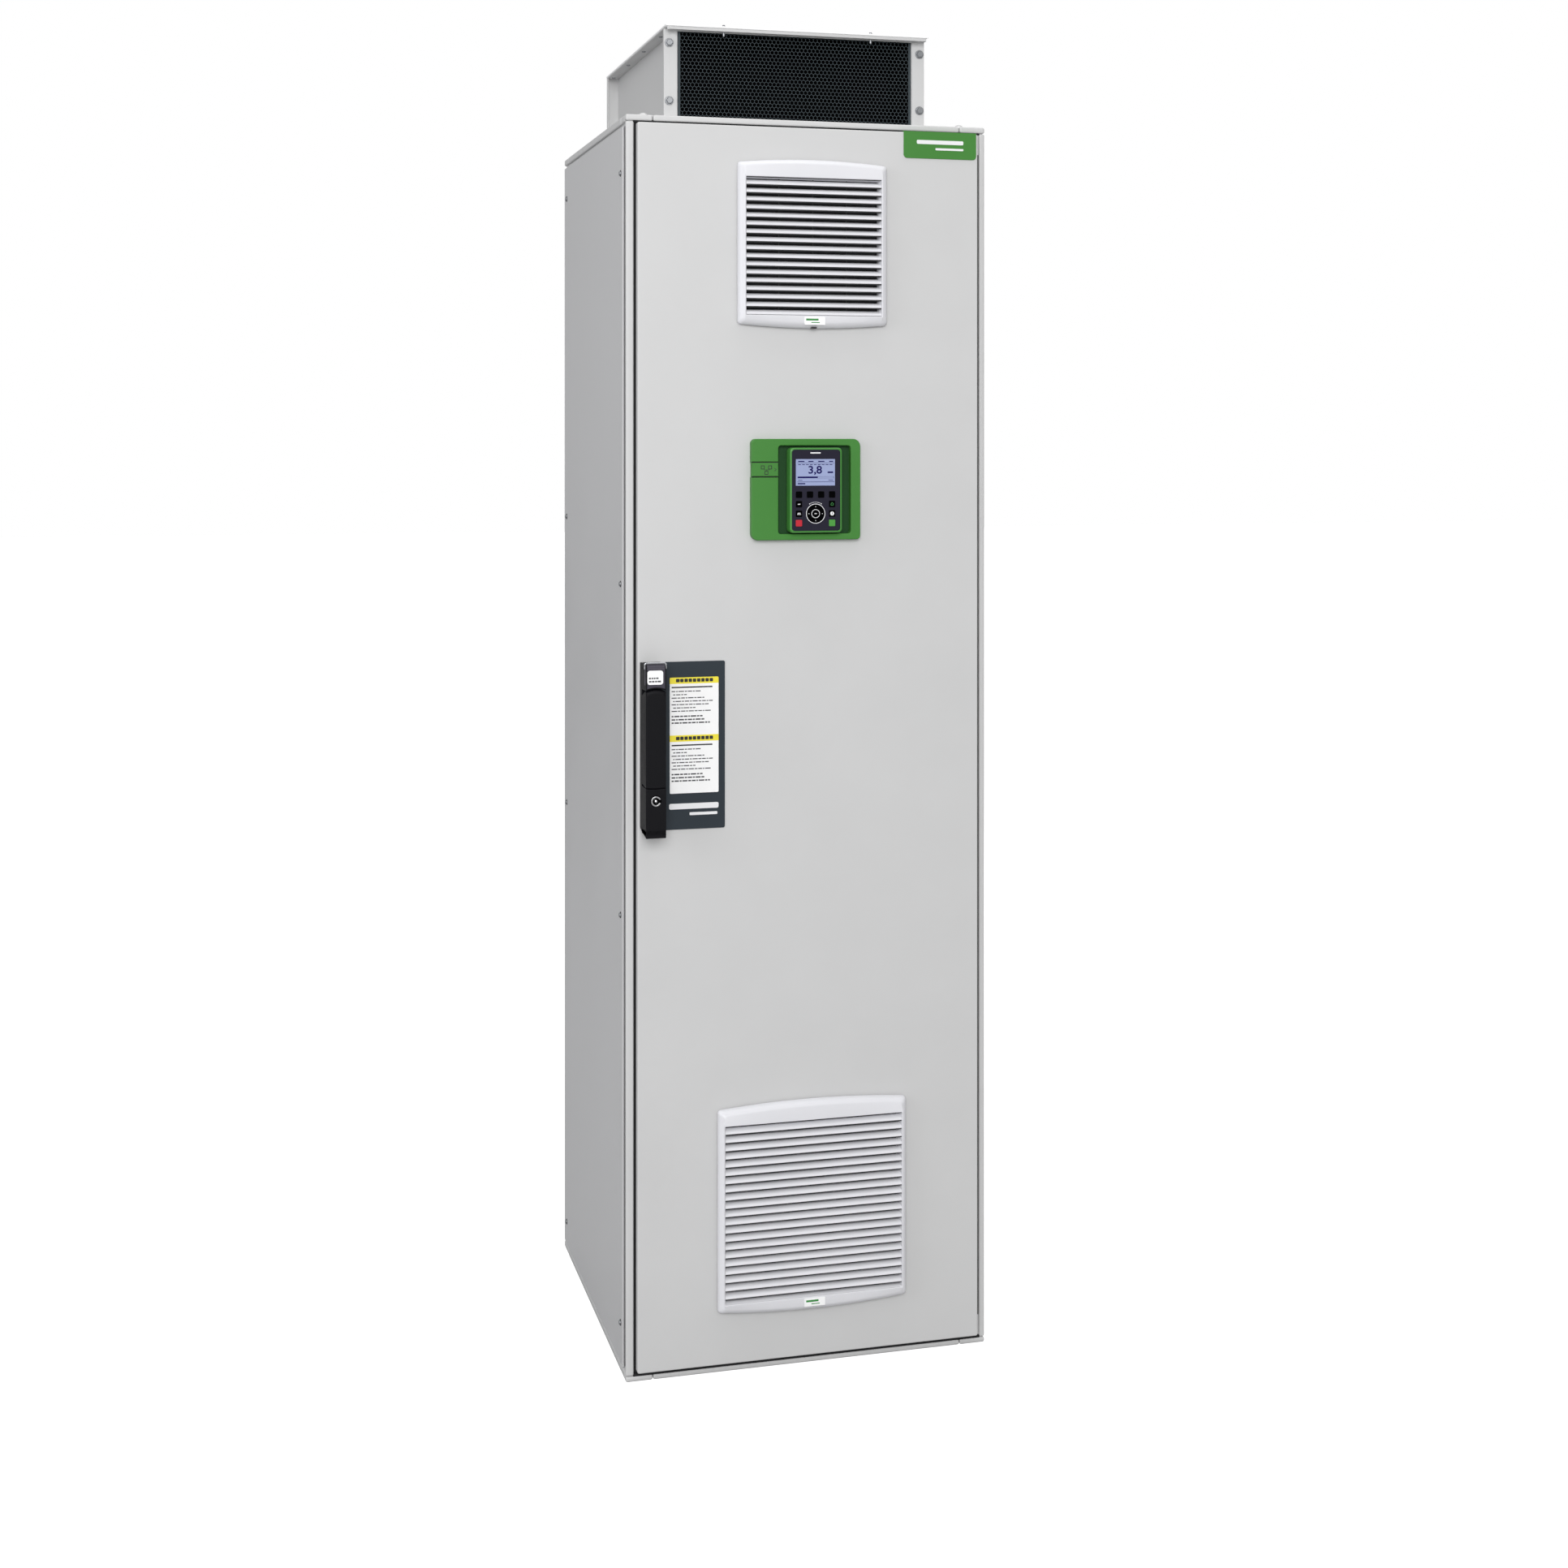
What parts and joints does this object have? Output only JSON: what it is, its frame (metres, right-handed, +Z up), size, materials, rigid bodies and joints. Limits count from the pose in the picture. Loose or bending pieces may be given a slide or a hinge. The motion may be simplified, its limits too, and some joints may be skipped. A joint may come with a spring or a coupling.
{
  "type": "enclosed variable frequency drive",
  "caption": "Tall floor-standing drive cabinet with a hinged door, swing handle, louvred grilles, door-mounted operating terminal and a meshed roof ventilation hood.",
  "frame": {"origin": "centre of the overall box at floor level", "axes": "+Z up, the door faces -Y, +X is to the right of somebody facing the door"},
  "size_m": [0.6, 0.664, 2.157],
  "materials": {
    "cabinet_paint": "fine textured powder coat, light grey",
    "panel_paint": "fine textured powder coat, light grey",
    "grille_plastic": "smooth moulded",
    "green_plastic": "fine moulded grain",
    "terminal_green": "smooth moulded",
    "black_plastic": "fine moulded grain",
    "key_black": "silicone key",
    "key_red": "silicone key",
    "key_green": "silicone key",
    "screen_glass": "backlit display window",
    "plate_slate": "satin film",
    "gasket_rubber": "foamed seal",
    "filter_fibre": "non-woven filter mat",
    "mesh_steel": "black coated mesh",
    "zinc_steel": "zinc plated",
    "lock_metal": "polished",
    "heatsink_alloy": "as extruded",
    "case_steel": "satin dark grey",
    "capacitor_sleeve": "shrink sleeve",
    "core_steel": "varnished laminations",
    "fan_plastic": "glass-filled moulding",
    "terminal_resin": "moulded resin"
  },
  "bodies": {
    "root": {"bottom_frame": "cabinet_paint", "top_frame": "cabinet_paint", "upright_front_left": "cabinet_paint", "upright_front_right": "cabinet_paint", "upright_rear_left": "cabinet_paint", "upright_rear_right": "cabinet_paint", "side_panel_left": "panel_paint", "side_panel_right": "panel_paint", "rear_panel": "panel_paint", "roof_panel": "cabinet_paint", "gland_plate": "zinc_steel", "mounting_plate": "zinc_steel", "hood_shell": "cabinet_paint", "hood_roof": "cabinet_paint", "hood_mesh": "mesh_steel", "drive_module_case": "case_steel", "heatsink": "heatsink_alloy", "capacitor_bank": "capacitor_sleeve", "line_reactor": "core_steel", "fan_housing": "fan_plastic", "power_terminal_block": "terminal_resin", "control_block": "terminal_resin", "hinge_bracket_lower": "zinc_steel", "hinge_bracket_upper": "zinc_steel"},
    "fan": {"fan_rotor": "fan_plastic"},
    "door": {"door_panel": "cabinet_paint", "door_gasket": "gasket_rubber", "hinge_knuckle_lower": "zinc_steel", "hinge_knuckle_upper": "zinc_steel", "corner_plate": "green_plastic", "label_plate": "plate_slate", "handle_base": "black_plastic", "lock_gearbox": "zinc_steel", "upper_grille_frame": "grille_plastic", "upper_filter_mat": "filter_fibre", "lower_grille_frame": "grille_plastic", "lower_filter_mat": "filter_fibre", "terminal_holder": "green_plastic"},
    "upper_grille": {"upper_grille_cover": "grille_plastic"},
    "lower_grille": {"lower_grille_cover": "grille_plastic"},
    "spindle": {"handle_spindle": "zinc_steel"},
    "lever": {"handle_lever": "black_plastic"},
    "lock": {"lock_cylinder": "lock_metal"},
    "upper_rod": {"upper_lock_rod": "zinc_steel"},
    "lower_rod": {"lower_lock_rod": "zinc_steel"},
    "port_shutter": {"port_cover": "green_plastic"},
    "terminal": {"terminal_case": "terminal_green", "lcd_screen": "screen_glass"},
    "wheel": {"nav_wheel": "key_black"},
    "ok": {"ok_button": "key_black"},
    "key_f1_body": {"key_f1": "key_black"},
    "key_f2_body": {"key_f2": "key_black"},
    "key_f3_body": {"key_f3": "key_black"},
    "key_f4_body": {"key_f4": "key_black"},
    "key_escape_body": {"key_escape": "key_black"},
    "key_home_body": {"key_home": "key_black"},
    "key_local_remote_body": {"key_local_remote": "key_black"},
    "key_info_body": {"key_info": "key_black"},
    "key_stop_body": {"key_stop": "key_red"},
    "key_run_body": {"key_run": "key_green"}
  },
  "joints": [
    {"name": "door_hinge", "type": "hinge", "parent": "root", "child": "door", "pos_m": [0.2785, -0.2765, 1], "axis": [0, 0, 1], "range_deg": [0, 120]},
    {"name": "handle_turn", "type": "hinge", "parent": "door", "child": "spindle", "pos_m": [-0.2645, -0.3, 1.06], "axis": [0, -1, 0], "range_deg": [0, 90]},
    {"name": "handle_lift", "type": "hinge", "parent": "spindle", "child": "lever", "pos_m": [-0.2645, -0.326, 1.0935], "axis": [-1, 0, 0], "range_deg": [0, 25]},
    {"name": "upper_rod_slide", "type": "slide", "parent": "door", "child": "upper_rod", "axis": [0, 0, -1], "range_m": [0, 0.018]},
    {"name": "lower_rod_slide", "type": "slide", "parent": "door", "child": "lower_rod", "axis": [0, 0, 1], "range_m": [0, 0.018]},
    {"name": "lock_turn", "type": "hinge", "parent": "door", "child": "lock", "pos_m": [-0.2645, -0.325, 0.925], "axis": [0, -1, 0], "range_deg": [0, 90]},
    {"name": "port_slide", "type": "slide", "parent": "door", "child": "port_shutter", "axis": [1, 0, 0], "range_m": [0, 0.014]},
    {"name": "upper_grille_hinge", "type": "hinge", "parent": "door", "child": "upper_grille", "pos_m": [0, -0.2868, 1.9315], "axis": [-1, 0, 0], "range_deg": [0, 90]},
    {"name": "lower_grille_hinge", "type": "hinge", "parent": "door", "child": "lower_grille", "pos_m": [0, -0.2868, 0.42845], "axis": [-1, 0, 0], "range_deg": [0, 90]},
    {"name": "terminal_pull", "type": "slide", "parent": "door", "child": "terminal", "axis": [0, -1, 0], "range_m": [0, 0.06]},
    {"name": "key_f1_press", "type": "slide", "parent": "terminal", "child": "key_f1_body", "axis": [0, 1, 0], "range_m": [0, 0.001], "stiffness_N_per_m": 400},
    {"name": "key_f2_press", "type": "slide", "parent": "terminal", "child": "key_f2_body", "axis": [0, 1, 0], "range_m": [0, 0.001], "stiffness_N_per_m": 400},
    {"name": "key_f3_press", "type": "slide", "parent": "terminal", "child": "key_f3_body", "axis": [0, 1, 0], "range_m": [0, 0.001], "stiffness_N_per_m": 400},
    {"name": "key_f4_press", "type": "slide", "parent": "terminal", "child": "key_f4_body", "axis": [0, 1, 0], "range_m": [0, 0.001], "stiffness_N_per_m": 400},
    {"name": "key_escape_press", "type": "slide", "parent": "terminal", "child": "key_escape_body", "axis": [0, 1, 0], "range_m": [0, 0.001], "stiffness_N_per_m": 400},
    {"name": "key_home_press", "type": "slide", "parent": "terminal", "child": "key_home_body", "axis": [0, 1, 0], "range_m": [0, 0.001], "stiffness_N_per_m": 400},
    {"name": "key_local_remote_press", "type": "slide", "parent": "terminal", "child": "key_local_remote_body", "axis": [0, 1, 0], "range_m": [0, 0.001], "stiffness_N_per_m": 400},
    {"name": "key_info_press", "type": "slide", "parent": "terminal", "child": "key_info_body", "axis": [0, 1, 0], "range_m": [0, 0.001], "stiffness_N_per_m": 400},
    {"name": "key_stop_press", "type": "slide", "parent": "terminal", "child": "key_stop_body", "axis": [0, 1, 0], "range_m": [0, 0.001], "stiffness_N_per_m": 400},
    {"name": "key_run_press", "type": "slide", "parent": "terminal", "child": "key_run_body", "axis": [0, 1, 0], "range_m": [0, 0.001], "stiffness_N_per_m": 400},
    {"name": "wheel_turn", "type": "hinge", "parent": "terminal", "child": "wheel", "pos_m": [-0.0016, -0.31, 1.3685], "axis": [0, -1, 0], "continuous": true},
    {"name": "ok_press", "type": "slide", "parent": "terminal", "child": "ok", "axis": [0, 1, 0], "range_m": [0, 0.001], "stiffness_N_per_m": 400},
    {"name": "fan_spin", "type": "hinge", "parent": "root", "child": "fan", "pos_m": [0, 0.2041, 0.925], "axis": [0, 0, 1], "continuous": true}
  ],
  "couplings": [
    {"joint": "upper_rod_slide", "follows": "handle_turn", "m_per_rad": 0.0114},
    {"joint": "lower_rod_slide", "follows": "handle_turn", "m_per_rad": 0.0114}
  ]
}
